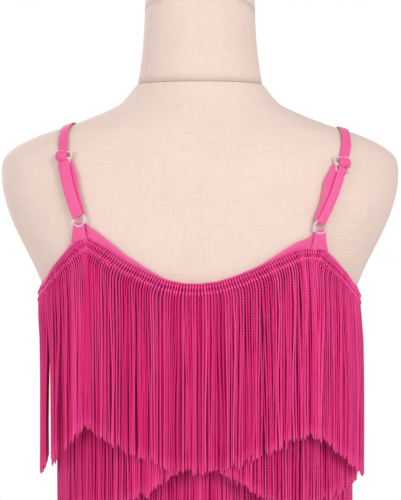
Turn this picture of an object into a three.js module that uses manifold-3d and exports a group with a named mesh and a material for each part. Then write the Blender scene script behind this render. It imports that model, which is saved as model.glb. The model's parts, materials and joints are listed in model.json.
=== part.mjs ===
// A latin dance dress with tiers of long fringe, worn by a limbless dress form on a round stand.
// Millimetres, +Z up. The origin is on the floor at the middle of the stand's foot.
// The dress faces -Y, its open back faces +Y, and +X is the dress's own left.

import * as THREE from "three";
import { mergeVertices } from "three/addons/utils/BufferGeometryUtils.js";
import Module from "manifold-3d";

const wasm = await Module();
wasm.setup();

// ---------- Driving sizes ----------

const COLUMNS = 20; // upright strips in each half of the body and of each cloth
const SEAM_GAP = 0.3; // between two pieces that are sewn together
const EASE = 2.8; // between the form and the stretch cloth on it
const JERSEY = 1.4; // thickness of the stretch cloth
const SEWN_EASE = 1.6; // between the jersey and a tier's sewn edge
const FRINGE_EASE = 3.6; // between the jersey and the fringe that hangs on it
const FRINGE_SETTLE = 25; // how far down a tier reaches that ease
const FRINGE_WALL = 1.2; // thickness of a fringe tier
const FRINGE_PITCH = 4.2; // from one tier's inner side to the next tier's
const LEAD = 5; // how far above the tier beneath a tier starts to pass over it
const HIP_HEIGHT = 815; // the widest level of the hips, from which cloth hangs straight
const HEM_HEIGHT = 700; // lower edge of the jersey
const PEAK_RISE = 12.5; // how far the jersey shows above the fringe at a strap
const EDGE_RISE = 1.5; // and elsewhere along the neckline and armholes
const ARM_REACH = 12; // degrees from a strap over which that rise fades towards the armhole
const NECK_REACH = { left: 34, right: 26 }; // and towards the middle, on each side
const BACK_PEAK = 38.5; // degrees from the side seam to the back straps
const FRONT_PEAK = 45; // and to the front straps

// Level cuts through the torso, from the bottom up. half_width runs along X,
// front and back along Y from the side seams, and power is 2 for an ellipse.
const SECTIONS = [
  { height: 758, half_width: 148, front: 92, back: 104, power: 2.2 },
  { height: 775, half_width: 159, front: 99, back: 113, power: 2.2 },
  { height: 815, half_width: 164, front: 103, back: 118, power: 2.2 },
  { height: 850, half_width: 160, front: 104, back: 113, power: 2.2 },
  { height: 890, half_width: 149, front: 102, back: 98, power: 2.2 },
  { height: 930, half_width: 134, front: 98, back: 82, power: 2.2 },
  { height: 970, half_width: 121, front: 93, back: 71, power: 2.2 },
  { height: 1005, half_width: 116, front: 91, back: 67, power: 2.2 },
  { height: 1045, half_width: 119, front: 95, back: 70, power: 2.2 },
  { height: 1085, half_width: 123, front: 104, back: 77, power: 2.2 },
  { height: 1125, half_width: 128, front: 118, back: 85, power: 2.2 },
  { height: 1160, half_width: 133.5, front: 128, back: 91, power: 2.2 },
  { height: 1190, half_width: 141, front: 130, back: 95, power: 2.25 },
  { height: 1215, half_width: 150, front: 124, back: 97, power: 2.3 },
  { height: 1242, half_width: 162, front: 113, back: 98, power: 2.3 },
  { height: 1274, half_width: 178, front: 98, back: 97, power: 2.25 },
  { height: 1304, half_width: 188, front: 84, back: 94, power: 2.2 },
  { height: 1323, half_width: 190, front: 76, back: 90, power: 2.15 },
  { height: 1337, half_width: 188, front: 71, back: 86, power: 2.1 },
  { height: 1348, half_width: 177, front: 66, back: 81, power: 2.1 },
  { height: 1356.5, half_width: 161, front: 62, back: 77, power: 2.05 },
  { height: 1363, half_width: 144, front: 59, back: 74, power: 2.05 },
  { height: 1371, half_width: 119, front: 57, back: 70, power: 2 },
  { height: 1384, half_width: 87, front: 55, back: 64, power: 2 },
  { height: 1393, half_width: 73, front: 54, back: 60, power: 2 },
  { height: 1408, half_width: 61, front: 52, back: 56, power: 2 },
];

// Height of the fringe's top edge, by degrees from the side seam towards the middle.
// The dress's right straps are let out a little further, so that side sits lower.
const EDGE = [
  { angle: 0, back_left: 1210, back_right: 1207, front_left: 1211, front_right: 1208 },
  { angle: 9, back_left: 1213, back_right: 1210, front_left: 1214, front_right: 1210 },
  { angle: 18, back_left: 1220.5, back_right: 1217, front_left: 1221, front_right: 1217 },
  { angle: 27, back_left: 1237, back_right: 1232, front_left: 1238, front_right: 1236 },
  { angle: 36, back_left: 1257, back_right: 1249.5, front_left: 1260, front_right: 1259 },
  { angle: 40, back_left: 1261, back_right: 1251, front_left: 1270, front_right: 1269 },
  { angle: 45, back_left: 1253.5, back_right: 1250, front_left: 1281, front_right: 1280 },
  { angle: 54, back_left: 1239.5, back_right: 1241, front_left: 1266, front_right: 1266 },
  { angle: 63, back_left: 1230, back_right: 1232, front_left: 1253, front_right: 1253 },
  { angle: 72, back_left: 1222, back_right: 1225, front_left: 1244, front_right: 1244 },
  { angle: 81, back_left: 1218.5, back_right: 1220, front_left: 1239, front_right: 1239 },
  { angle: 90, back_left: 1218, back_right: 1218, front_left: 1237, front_right: 1237 },
];

// The top tier follows EDGE. Each other tier is sewn on in a wave: high at the middle of
// the back and front, low at dip_angle, and at its own height at each side seam.
const TIERS = [
  { length: 173 },
  { length: 155, back: 1208, back_dip: 1166, left: 1150, right: 1189, front_dip: 1160, front: 1200 },
  { length: 170, back: 1095, back_dip: 1072, left: 1084, right: 1172, front_dip: 1070, front: 1092 },
  { length: 170, back: 985, back_dip: 966, left: 978, right: 1030, front_dip: 964, front: 982 },
  { length: 170, back: 875, back_dip: 858, left: 870, right: 872, front_dip: 856, front: 874 },
  { length: 170, back: 765, back_dip: 750, left: 762, right: 760, front_dip: 750, front: 764 },
];
const DIP_ANGLE = 40;

// ---------- The form's and the cloth's surfaces ----------

const radians = THREE.MathUtils.degToRad;
const mix = THREE.MathUtils.lerp;

// The row pair of a table around a value, and how far the value is between them.
function between(table, key, value) {
  let above = 1;
  while (above < table.length - 1 && table[above][key] < value) above += 1;
  const low = table[above - 1];
  const high = table[above];
  const share = THREE.MathUtils.clamp((value - low[key]) / (high[key] - low[key]), 0, 1);
  return { low, high, share };
}

// One level cut's sizes at any height.
function section(height) {
  const { low, high, share } = between(SECTIONS, "height", height);
  const sizes = {};
  for (const key of ["half_width", "front", "back", "power"]) sizes[key] = mix(low[key], high[key], share);
  return sizes;
}

// Distance from the form's axis to its surface. Angles run from +X (0) over +Y (90) to -X (180).
function bodyRadius(angle, height) {
  const { half_width, front, back, power } = section(height);
  const across = Math.abs(Math.cos(radians(angle))) / half_width;
  const along = Math.abs(Math.sin(radians(angle))) / (angle < 180 ? back : front);
  return (across ** power + along ** power) ** (-1 / power);
}

// Stretch cloth follows the form down to the hips and hangs straight below them.
const clothRadius = (angle, height) => bodyRadius(angle, Math.max(height, HIP_HEIGHT)) + EASE;

// Degrees from the nearer side seam, and which side and half of the dress an angle is on.
function place(angle) {
  const inHalf = angle % 180;
  const isLeft = angle < 90 || angle > 270;
  return { turn: Math.min(inHalf, 180 - inHalf), isBack: angle <= 180, isLeft };
}

function edgeHeight(angle) {
  const { turn, isBack, isLeft } = place(angle);
  const { low, high, share } = between(EDGE, "angle", turn);
  const key = `${isBack ? "back" : "front"}_${isLeft ? "left" : "right"}`;
  return mix(low[key], high[key], share);
}

// The jersey stands above the fringe, most of all where the straps are.
function panelTop(angle) {
  const { turn, isBack, isLeft } = place(angle);
  const away = turn - (isBack ? BACK_PEAK : FRONT_PEAK);
  const reach = away < 0 ? ARM_REACH : NECK_REACH[isLeft ? "left" : "right"];
  return edgeHeight(angle) + mix(PEAK_RISE, EDGE_RISE, Math.min(1, Math.abs(away) / reach));
}

// The height at which a tier's fringe is sewn on.
function tierTop(index, angle) {
  if (index === 0) return edgeHeight(angle);
  const tier = TIERS[index];
  const { turn, isBack, isLeft } = place(angle);
  const middle = isBack ? tier.back : tier.front;
  const dip = isBack ? tier.back_dip : tier.front_dip;
  const side = isLeft ? tier.left : tier.right;
  if (turn < DIP_ANGLE) return mix(side, dip, THREE.MathUtils.smoothstep(turn, 0, DIP_ANGLE));
  return mix(dip, middle, THREE.MathUtils.smoothstep(turn, DIP_ANGLE, 90));
}

// The widest that the jersey is anywhere between two heights.
function widest(angle, low, high) {
  const levels = SECTIONS.map((row) => row.height).filter((h) => h > low && h < high);
  return Math.max(...[low, ...levels, high].map((h) => clothRadius(angle, h)));
}

// The inner side of a tier: straight down from where it is sewn, pushed out by the body and by the tier beneath.
function fringeRadius(index, angle, height) {
  const top = tierTop(index, angle);
  const ease = mix(SEWN_EASE, FRINGE_EASE, Math.min(1, (top - height) / FRINGE_SETTLE));
  let radius = widest(angle, height, top) + JERSEY + ease;
  const next = index + 1;
  if (next < TIERS.length && height < tierTop(next, angle) + LEAD + 1) {
    const beneath = fringeRadius(next, angle, Math.min(height, tierTop(next, angle)));
    radius = Math.max(radius, beneath + FRINGE_PITCH);
  }
  return radius;
}

function pointAt(angle, radius, height) {
  return new THREE.Vector3(radius * Math.cos(radians(angle)), radius * Math.sin(radians(angle)), height);
}

// ---------- Making closed solids ----------

// A solid from quads and triangles of points that neighbours share.
function solidFrom(points, faces) {
  const geometry = new THREE.BufferGeometry();
  geometry.setAttribute("position", new THREE.Float32BufferAttribute(points.flatMap((p) => p.toArray()), 3));
  const corners = faces.flatMap((f) => (f.length === 4 ? [f[0], f[1], f[2], f[0], f[2], f[3]] : f));
  geometry.setIndex(corners);
  return geometry;
}

// A wall between two grids of points, row by row, whose outer side faces away from the inner one.
// Its quads are split the other way past the middle column, so that both sides of the body match.
function wall(inner, outer) {
  const rows = inner.length;
  const columns = inner[0].length;
  const points = [...outer.flat(), ...inner.flat()];
  const out = (row, column) => row * columns + column;
  const back = (row, column) => rows * columns + out(row, column);
  const faces = [];
  for (let row = 0; row + 1 < rows; row += 1) {
    for (let column = 0; column + 1 < columns; column += 1) {
      const turned = (face) => (column >= (columns - 1) / 2 ? [...face.slice(1), face[0]] : face);
      const next = column + 1;
      faces.push(turned([out(row, column), out(row + 1, column), out(row + 1, next), out(row, next)]));
      faces.push(turned([back(row, column), back(row, next), back(row + 1, next), back(row + 1, column)]));
    }
    const last = columns - 1;
    faces.push([out(row, 0), back(row, 0), back(row + 1, 0), out(row + 1, 0)]);
    faces.push([out(row, last), out(row + 1, last), back(row + 1, last), back(row, last)]);
  }
  for (let column = 0; column + 1 < columns; column += 1) {
    const last = rows - 1;
    faces.push([out(0, column), out(0, column + 1), back(0, column + 1), back(0, column)]);
    faces.push([out(last, column), back(last, column), back(last, column + 1), out(last, column + 1)]);
  }
  return solidFrom(points, faces);
}

// Rings of points, from the bottom up, closed with a flat fan at each end.
function stack(rings) {
  const size = rings[0].length;
  const points = rings.flat();
  const faces = [];
  for (let level = 0; level + 1 < rings.length; level += 1) {
    for (let i = 0; i < size; i += 1) {
      const next = (i + 1) % size;
      const here = level * size;
      faces.push([here + i, here + next, here + size + next, here + size + i]);
    }
  }
  for (const [level, isTop] of [[0, false], [rings.length - 1, true]]) {
    const centre = points.length;
    points.push(rings[level].reduce((sum, p) => sum.add(p), new THREE.Vector3()).divideScalar(size));
    for (let i = 0; i < size; i += 1) {
      const edge = [level * size + i, level * size + ((i + 1) % size)];
      faces.push(isTop ? [...edge, centre] : [edge[1], edge[0], centre]);
    }
  }
  return solidFrom(points, faces);
}

// A flat band along a path. Each stop has a point, the way out of the cloth and the way across it.
function band(stops, halfWidth, inside, outside) {
  const grid = (offset) => stops.map(({ point, out, across }) => [1, -1].map((side) => (
    point.clone().addScaledVector(out, offset).addScaledVector(across, side * halfWidth)
  )));
  return wall(grid(inside), grid(outside));
}

function asManifold(geometry) {
  const bare = geometry.clone();
  bare.deleteAttribute("normal");
  bare.deleteAttribute("uv");
  const merged = mergeVertices(bare, 1e-4);
  const vertProperties = new Float32Array(merged.attributes.position.array);
  const triVerts = new Uint32Array(merged.index.array);
  return new wasm.Manifold(new wasm.Mesh({ numProp: 3, vertProperties, triVerts }));
}

// One solid with another cut out of it.
function cut(geometry, tool) {
  const mesh = asManifold(geometry).subtract(asManifold(tool)).getMesh();
  const result = new THREE.BufferGeometry();
  result.setAttribute("position", new THREE.BufferAttribute(mesh.vertProperties, 3));
  result.setIndex(new THREE.BufferAttribute(mesh.triVerts, 1));
  return result;
}

const part = new THREE.Group();

function add(name, geometry, finish) {
  const mesh = new THREE.Mesh(geometry, new THREE.MeshStandardMaterial(finish));
  mesh.name = name;
  part.add(mesh);
  return mesh;
}

const LINEN = { color: 0xe6d2c6, roughness: 0.9, metalness: 0 };
const PINK_JERSEY = { color: 0xf0509a, roughness: 0.6, metalness: 0 };
const PINK_FRINGE = { color: 0xc82f78, roughness: 0.5, metalness: 0 };
const CLEAR_PLASTIC = { color: 0xf4e6ee, roughness: 0.15, metalness: 0 };
const STEEL = { color: 0xc9ccd0, roughness: 0.3, metalness: 1 };
const CREAM_PAINT = { color: 0xeee6dc, roughness: 0.4, metalness: 0 };

// ---------- The dress form and its stand ----------

const NECK = { base: 1408.4, top: 1477.5, side: 53, base_side: 59.8, depth: 50, base_depth: 53, tilt: 14 };
const CAP = { gap: 0.4, thickness: 17, edge: 5 };
const FORM_STEPS = 2 * COLUMNS;

function torso() {
  const rings = SECTIONS.map(({ height }) => Array.from({ length: FORM_STEPS }, (_, i) => {
    const angle = (i * 360) / FORM_STEPS;
    return pointAt(angle, bodyRadius(angle, height), height);
  }));
  add("form_torso", stack(rings), LINEN);
}

// One oval of the neck. Its plane rises towards the back by tilt at the rim.
function neckRing(side, depth, height, tilt) {
  return Array.from({ length: FORM_STEPS }, (_, i) => {
    const angle = radians((i * 360) / FORM_STEPS);
    return new THREE.Vector3(side * Math.cos(angle), depth * Math.sin(angle) + 2, height + tilt * Math.sin(angle));
  });
}

function neck() {
  const waist = 0.45; // how far up the neck its sides have drawn in
  add("form_neck", stack([
    neckRing(NECK.base_side, NECK.base_depth, NECK.base, 0),
    neckRing(mix(NECK.base_side, NECK.side, 0.75), mix(NECK.base_depth, NECK.depth, 0.75),
      mix(NECK.base, NECK.top, waist), NECK.tilt * waist),
    neckRing(NECK.side, NECK.depth, NECK.top, NECK.tilt),
  ]), LINEN);
}

function neckCap() {
  const foot = NECK.top + CAP.gap;
  const rings = [[0, 0], [0, 0.45], [0.25, 0.8], [1, 1]].map(([inset, rise]) => (
    neckRing(NECK.side - inset * CAP.edge, NECK.depth - inset * CAP.edge, foot + rise * CAP.thickness, NECK.tilt)
  ));
  add("form_neck_cap", stack(rings), LINEN);
}

const STAND = { foot_radius: 175, foot_edge: 5, foot_height: 18, pole_radius: 12.5, collar_radius: 34, collar_height: 30 };

function lathe(profile, steps) {
  const geometry = new THREE.LatheGeometry(profile.map(([x, y]) => new THREE.Vector2(x, y)), steps);
  return geometry.rotateX(Math.PI / 2);
}

function stand() {
  const { foot_radius, foot_edge, foot_height, pole_radius, collar_radius, collar_height } = STAND;
  const under = SECTIONS[0].height - SEAM_GAP;
  const shelf = under - collar_height;
  add("stand_foot", lathe([
    [0, 0], [foot_radius, 0], [foot_radius, foot_height - foot_edge],
    [foot_radius - foot_edge, foot_height], [0, foot_height],
  ], 48), CREAM_PAINT);
  add("stand_pole", lathe([
    [0, foot_height + SEAM_GAP], [pole_radius, foot_height + SEAM_GAP],
    [pole_radius, shelf - SEAM_GAP], [0, shelf - SEAM_GAP],
  ], 20), STEEL);
  add("stand_collar", lathe([
    [0, shelf], [pole_radius + 6, shelf], [collar_radius, under - 8], [collar_radius, under], [0, under],
  ], 24), STEEL);
}

// ---------- The jersey panels ----------

// The angles of one half's columns, its two ends drawn in by half a seam gap.
function halfAngles(isBack) {
  const start = isBack ? 0 : 180;
  return Array.from({ length: COLUMNS + 1 }, (_, i) => {
    const inset = THREE.MathUtils.radToDeg(SEAM_GAP / 2 / SECTIONS[7].half_width);
    const shift = i === 0 ? inset : i === COLUMNS ? -inset : 0;
    return start + (i * 180) / COLUMNS + shift;
  });
}

// Rows of a panel: a few that fan out from its top edge, then the form's own levels down to the hem.
function panelHeights(angle) {
  const fan = 6;
  const firstLevel = 1190;
  const top = panelTop(angle);
  const upper = Array.from({ length: fan }, (_, i) => mix(top, firstLevel, i / fan));
  const levels = SECTIONS.map((row) => row.height).filter((h) => h <= firstLevel && h >= HIP_HEIGHT);
  return [...upper, ...levels.reverse(), HEM_HEIGHT];
}

function clothWall(angles, heightsAt, innerRadius, thickness) {
  const columns = angles.map((angle) => heightsAt(angle).map((height) => ({ angle, height })));
  const grid = (extra) => columns[0].map((_, row) => columns.map((column) => {
    const { angle, height } = column[row];
    return pointAt(angle, innerRadius(angle, height) + extra, height);
  }));
  return wall(grid(0), grid(thickness));
}

function panels() {
  for (const isBack of [true, false]) {
    const name = isBack ? "panel_back" : "panel_front";
    add(name, clothWall(halfAngles(isBack), panelHeights, clothRadius, JERSEY), PINK_JERSEY);
  }
}

// ---------- The fringe ----------

// Rows of a tier: its top, just above the next tier beneath, just above the one after, and its tips,
// with two more between the first and that tier.
const UPPER_ROWS = [0.32, 0.7];
function tierHeights(index) {
  return (angle) => {
    const top = tierTop(index, angle);
    const tip = top - TIERS[index].length;
    const above = (later, share) => (later < TIERS.length ? tierTop(later, angle) + LEAD : mix(top, tip, share));
    const next = above(index + 1, 0.45);
    const third = Math.max(above(index + 2, 0.8), tip + LEAD);
    return [top, ...UPPER_ROWS.map((share) => mix(top, next, share)), next, third, tip];
  };
}

function fringe() {
  TIERS.forEach((tier, index) => {
    const radius = (angle, height) => fringeRadius(index, angle, height);
    for (const isBack of [true, false]) {
      const name = `fringe_${index + 1}_${isBack ? "back" : "front"}`;
      add(name, clothWall(halfAngles(isBack), tierHeights(index), radius, FRINGE_WALL), PINK_FRINGE);
    }
  });
}

// ---------- Straps, rings and sliders ----------

const STRAP = { half_width: 5.2, thickness: 1.2, ease: 1.3 };
const RING = { radius: 6.2, wire: 0.7, room: 0.25, lift: 6 };
const RING_GAP = 1.5; // from the ring's middle to the strap above it and the tab below it
const DOUBLED = 3; // thickness of the strap and tab where they fold round the ring's wire
const SLIDER = { half_width: 7.6, half_height: 7, bar: 1.7, thickness: 1.4, lift: 3.2 };

// Each side's strap, by the dress's own side: where it crosses the shoulder, its slider, ring and tab.
const SIDES = [
  { side: "left", sign: 1, top_x: 123.5, bend_x: 127.5, bend: 1352, slider_x: 125.5, slider: 1334.5, ring_x: 110, ring: 1278, tab: 1263 },
  { side: "right", sign: -1, top_x: 135.5, bend_x: 136.5, bend: 1348, slider_x: 130.5, slider: 1329, ring_x: 108.5, ring: 1271.5, tab: 1255 },
];
const FRONT_END = { x: 93, height: 1296.5 };

// A point of the form's back (way 1) or front (way -1) at a distance across and a height.
function onForm(x, height, way) {
  const { half_width, front, back, power } = section(height);
  const share = Math.max(0, 1 - (Math.abs(x) / half_width) ** power);
  return new THREE.Vector3(x, way * (way > 0 ? back : front) * share ** (1 / power), height);
}

// The height of the shoulder's ridge at a distance across.
function ridge(x) {
  const row = SECTIONS.findIndex((s) => s.height > 1330 && s.half_width < Math.abs(x));
  const low = SECTIONS[row - 1];
  const high = SECTIONS[row];
  return mix(low.height, high.height, (low.half_width - Math.abs(x)) / (low.half_width - high.half_width));
}

// Below 1 inside the form, 1 on it and above 1 outside it.
function depthIn({ x, y, z }) {
  const { half_width, front, back, power } = section(z);
  return (Math.abs(x) / half_width) ** power + (Math.abs(y) / (y > 0 ? back : front)) ** power;
}

// The way straight out of the form at a point on it.
function wayOut(point) {
  const step = 4;
  const change = ["x", "y", "z"].map((axis) => {
    const more = point.clone();
    const less = point.clone();
    more[axis] += step;
    less[axis] -= step;
    return depthIn(more) - depthIn(less);
  });
  return new THREE.Vector3(...change).normalize();
}

// Adds to each point of a path the way out of the form and the way across the strap.
function withWays(points) {
  return points.map((point, i) => {
    const along = points[Math.min(i + 1, points.length - 1)].clone().sub(points[Math.max(i - 1, 0)]).normalize();
    const out = wayOut(point);
    out.addScaledVector(along, -out.dot(along)).normalize();
    return { point, out, across: new THREE.Vector3().crossVectors(along, out).normalize() };
  });
}

// Points on the form's back between two places of the strap's line.
function backPath(fromX, fromHeight, toX, toHeight, steps) {
  return Array.from({ length: steps + 1 }, (_, i) => (
    onForm(mix(fromX, toX, i / steps), mix(fromHeight, toHeight, i / steps), 1)
  ));
}

// The strap from its slider up the back, over the shoulder's ridge and down to the front panel.
// It runs straight up and turns inwards only close to the ridge.
function shoulderPath({ sign, top_x, bend_x, bend, slider_x, slider }) {
  const top = ridge(top_x);
  const drop = [0.6, 0.35, 0.18, 0.08, 0.02];
  const rise = backPath(sign * slider_x, slider - 6, sign * bend_x, bend, 2);
  const up = drop.map((d) => onForm(sign * mix(bend_x, top_x, (1 - d) ** 4), mix(top, bend, d), 1));
  const over = onForm(sign * top_x, top, 1);
  const front = [0.01, 0.04, 0.1, 0.18, 0.3, 0.45, 0.7, 1].map((d) => (
    onForm(sign * mix(top_x, FRONT_END.x, d), mix(top, FRONT_END.height, d), -1)
  ));
  return [...rise, ...up, over, ...front];
}

// The ring lies flat against the tab, its axis pointing out of the back.
function ringAt(stop, wire) {
  const ring = new THREE.TorusGeometry(RING.radius, wire, 6, 24);
  const toWay = new THREE.Quaternion().setFromUnitVectors(new THREE.Vector3(0, 0, 1), stop.out);
  ring.applyQuaternion(toWay);
  const place = stop.point.clone().addScaledVector(stop.out, RING.lift);
  return ring.translate(place.x, place.y, place.z);
}

// A frame with a middle bar, whose two windows the strap passes through.
function sliderAt(stop) {
  const { half_width, half_height, bar, thickness, lift } = SLIDER;
  const frame = new THREE.Shape();
  frame.moveTo(-half_width, -half_height);
  frame.lineTo(half_width, -half_height);
  frame.lineTo(half_width, half_height);
  frame.lineTo(-half_width, half_height);
  frame.closePath();
  for (const sign of [1, -1]) {
    const near = sign * (bar / 2);
    const far = sign * (half_height - bar);
    const side = half_width - bar;
    const window = new THREE.Path();
    window.moveTo(-side, near);
    window.lineTo(side, near);
    window.lineTo(side, far);
    window.lineTo(-side, far);
    window.closePath();
    frame.holes.push(window);
  }
  const geometry = new THREE.ExtrudeGeometry(frame, { depth: thickness, bevelEnabled: false });
  const along = new THREE.Vector3().crossVectors(stop.out, stop.across);
  const turn = new THREE.Matrix4().makeBasis(stop.across, along, stop.out);
  turn.setPosition(stop.point.clone().addScaledVector(stop.out, lift));
  return geometry.applyMatrix4(turn);
}

function straps() {
  const { half_width, thickness, ease } = STRAP;
  for (const row of SIDES) {
    const { side, sign, slider_x, slider, ring_x, ring, tab } = row;
    add(`strap_shoulder_${side}`, band(withWays(shoulderPath(row)), half_width, ease, ease + thickness), PINK_JERSEY);

    const ringStop = withWays(backPath(sign * ring_x, ring - 4, sign * ring_x, ring + 4, 2))[1];
    const room = ringAt(ringStop, RING.wire + RING.room);
    add(`ring_${side}`, ringAt(ringStop, RING.wire), CLEAR_PLASTIC);

    const lowest = RING.lift - DOUBLED / 2;
    const lower = withWays(backPath(sign * ring_x, ring + RING_GAP, sign * slider_x, slider - 8.6, 6));
    add(`strap_lower_${side}`, cut(band(lower, half_width, lowest, lowest + DOUBLED), room), PINK_JERSEY);
    const tabPath = withWays(backPath(sign * ring_x, tab, sign * ring_x, ring - RING_GAP, 3));
    add(`tab_${side}`, cut(band(tabPath, half_width, lowest, lowest + DOUBLED), room), PINK_JERSEY);

    const sliderStop = withWays(backPath(sign * slider_x, slider - 6, sign * slider_x, slider + 6, 2))[1];
    add(`slider_${side}`, sliderAt(sliderStop), CLEAR_PLASTIC);
    const foldPath = withWays(backPath(sign * slider_x, slider - 4, sign * slider_x, slider + 4, 3));
    const foldLift = SLIDER.lift + SLIDER.thickness + 2 * SEAM_GAP;
    add(`strap_fold_${side}`, band(foldPath, half_width, foldLift, foldLift + DOUBLED), PINK_JERSEY);
  }
}

torso();
neck();
neckCap();
stand();
panels();
fringe();
straps();

export default part;
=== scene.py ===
import json
import math

import bpy
import numpy as np
from mathutils import Matrix, Vector

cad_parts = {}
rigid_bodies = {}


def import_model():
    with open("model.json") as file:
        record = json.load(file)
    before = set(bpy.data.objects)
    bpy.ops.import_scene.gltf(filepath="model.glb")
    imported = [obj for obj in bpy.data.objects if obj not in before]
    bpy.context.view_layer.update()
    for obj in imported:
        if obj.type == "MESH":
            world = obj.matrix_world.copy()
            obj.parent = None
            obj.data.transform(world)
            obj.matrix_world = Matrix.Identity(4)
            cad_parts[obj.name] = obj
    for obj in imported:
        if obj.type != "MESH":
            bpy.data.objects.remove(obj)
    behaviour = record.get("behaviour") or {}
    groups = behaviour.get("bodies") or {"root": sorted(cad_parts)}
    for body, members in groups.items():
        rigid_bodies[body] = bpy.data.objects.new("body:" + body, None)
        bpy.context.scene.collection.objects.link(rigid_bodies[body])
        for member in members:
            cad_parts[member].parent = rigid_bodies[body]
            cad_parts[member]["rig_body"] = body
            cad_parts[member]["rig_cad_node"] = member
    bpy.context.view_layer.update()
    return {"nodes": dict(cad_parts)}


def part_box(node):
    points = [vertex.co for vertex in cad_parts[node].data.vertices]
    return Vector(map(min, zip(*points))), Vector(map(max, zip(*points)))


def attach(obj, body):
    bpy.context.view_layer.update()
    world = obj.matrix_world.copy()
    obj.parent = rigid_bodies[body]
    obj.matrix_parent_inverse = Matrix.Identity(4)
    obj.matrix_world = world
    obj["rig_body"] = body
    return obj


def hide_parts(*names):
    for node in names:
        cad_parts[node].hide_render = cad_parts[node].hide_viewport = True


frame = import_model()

bl_info = {
    "name": "Fringed Latin Dance Dress",
    "version": (1, 0, 0),
    "blender": (4, 5, 0),
    "location": "3D View > Sidebar > Dance Dress",
    "description": "Builds a latin dance dress with looped fringe on its limbless dress form",
    "category": "Add Mesh",
}

MM = 0.001

# ---------- The figure and the cut, in millimetres ----------

# Level cuts through the form: height, half width, depth to the front and back, and squareness.
SECTIONS = (
    (758, 148, 92, 104, 2.2), (775, 159, 99, 113, 2.2), (815, 164, 103, 118, 2.2),
    (850, 160, 104, 113, 2.2), (890, 149, 102, 98, 2.2), (930, 134, 98, 82, 2.2),
    (970, 121, 93, 71, 2.2), (1005, 116, 91, 67, 2.2), (1045, 119, 95, 70, 2.2),
    (1085, 123, 104, 77, 2.2), (1125, 128, 118, 85, 2.2), (1160, 133.5, 128, 91, 2.2),
    (1190, 141, 130, 95, 2.25), (1215, 150, 124, 97, 2.3), (1242, 162, 113, 98, 2.3),
    (1274, 178, 98, 97, 2.25), (1304, 188, 84, 94, 2.2), (1323, 190, 76, 90, 2.15),
    (1337, 188, 71, 86, 2.1), (1348, 177, 66, 81, 2.1), (1356.5, 161, 62, 77, 2.05),
    (1363, 144, 59, 74, 2.05), (1371, 119, 57, 70, 2), (1384, 87, 55, 64, 2),
    (1393, 73, 54, 60, 2), (1408, 61, 52, 56, 2),
)
# The top fringe's sewn edge: degrees from the side seam, then its height at the
# back's left and right and at the front's left and right.
EDGE = (
    (0, 1210, 1207, 1211, 1208), (9, 1213, 1210, 1214, 1210), (18, 1220.5, 1217, 1221, 1217),
    (27, 1237, 1232, 1238, 1236), (36, 1257, 1249.5, 1260, 1259), (40, 1261, 1251, 1270, 1269),
    (45, 1253.5, 1250, 1281, 1280), (54, 1239.5, 1241, 1266, 1266), (63, 1230, 1232, 1253, 1253),
    (72, 1222, 1225, 1244, 1244), (81, 1218.5, 1220, 1239, 1239), (90, 1218, 1218, 1237, 1237),
)
# Each lower tier: strand length, then sewn height at the back's middle and dip,
# at the left and right side seams, and at the front's dip and middle.
TIERS = (
    (173,),
    (155, 1208, 1166, 1150, 1189, 1160, 1200),
    (170, 1095, 1072, 1084, 1172, 1070, 1092),
    (170, 985, 966, 978, 1030, 964, 982),
    (170, 875, 858, 870, 872, 856, 874),
    (170, 765, 750, 762, 760, 750, 764),
)
DIP_ANGLE = 40  # degrees from the side seam to a lower tier's dip
HIP_HEIGHT = 815  # the widest level of the hips, from which cloth hangs straight
HEM_HEIGHT = 700  # lower edge of the jersey
BACK_PEAK = 38.5  # degrees from the side seam to the back straps
FRONT_PEAK = 45  # and to the front straps
EASE = 1.6  # between the form and the jersey
JERSEY = 1.0  # thickness of the jersey
SEWN_EASE = 1.4  # between the jersey and a tier's sewn edge
FRINGE_EASE = 2.6  # between the jersey and the fringe that hangs on it
TIER_PITCH = 3.4  # from one tier to the next
LEAD = 6  # how far above the tier beneath a tier starts to pass over it
SKIRT_LEAN = 2.5  # how far the loose fringe hangs towards the dress's right
WRAP_RADIUS = 130  # the radius at which angles become distances in the cloth's UV


def ramp(value, low, high):
    share = np.clip((np.asarray(value, float) - low) / (high - low), 0, 1)
    return share * share * (3 - 2 * share)


def spline_rows(rows, steps=16):
    """A smooth curve through the rows of a table, sampled densely."""
    rows = np.array(rows, float)
    count = len(rows)
    pull = (np.eye(count) * 4 + np.eye(count, k=1) + np.eye(count, k=-1)) / 6
    pull[0] = pull[-1] = 0
    pull[0, 0] = pull[-1, -1] = 1
    points = np.linalg.solve(pull, rows)
    points = np.concatenate([[2 * points[0] - points[1]], points, [2 * points[-1] - points[-2]]])
    t = np.linspace(0, 1, steps, endpoint=False)[:, None]
    weights = ((1 - t) ** 3, 3 * t**3 - 6 * t**2 + 4, -3 * t**3 + 3 * t**2 + 3 * t + 1, t**3)
    spans = [
        sum(w * points[i + k] for k, w in enumerate(weights)) / 6
        for i in range(len(points) - 3)
    ]
    return np.concatenate([*spans, rows[-1:]])


BODY = spline_rows(SECTIONS)


def section(height):
    """Half width, depth to the front and to the back, and squareness of the form's cut at a height."""
    return (np.interp(height, BODY[:, 0], BODY[:, k]) for k in (1, 2, 3, 4))


def body_radius(angle, height):
    """Distance in millimetres from the form's axis to its surface."""
    width, front, back, power = section(height)
    turn = np.radians(angle)
    depth = np.where(np.sin(turn) >= 0, back, front)
    total = (np.abs(np.cos(turn)) / width) ** power + (np.abs(np.sin(turn)) / depth) ** power
    return total ** (-1 / power)


def cloth_radius(angle, height):
    return body_radius(angle, np.maximum(height, HIP_HEIGHT)) + EASE


def place_on(angle):
    """Degrees from the nearer side seam, and whether it is on the back and on the dress's left."""
    around = np.mod(angle, 360)
    inner = np.mod(around, 180)
    return np.minimum(inner, 180 - inner), around <= 180, (around < 90) | (around > 270)


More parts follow.
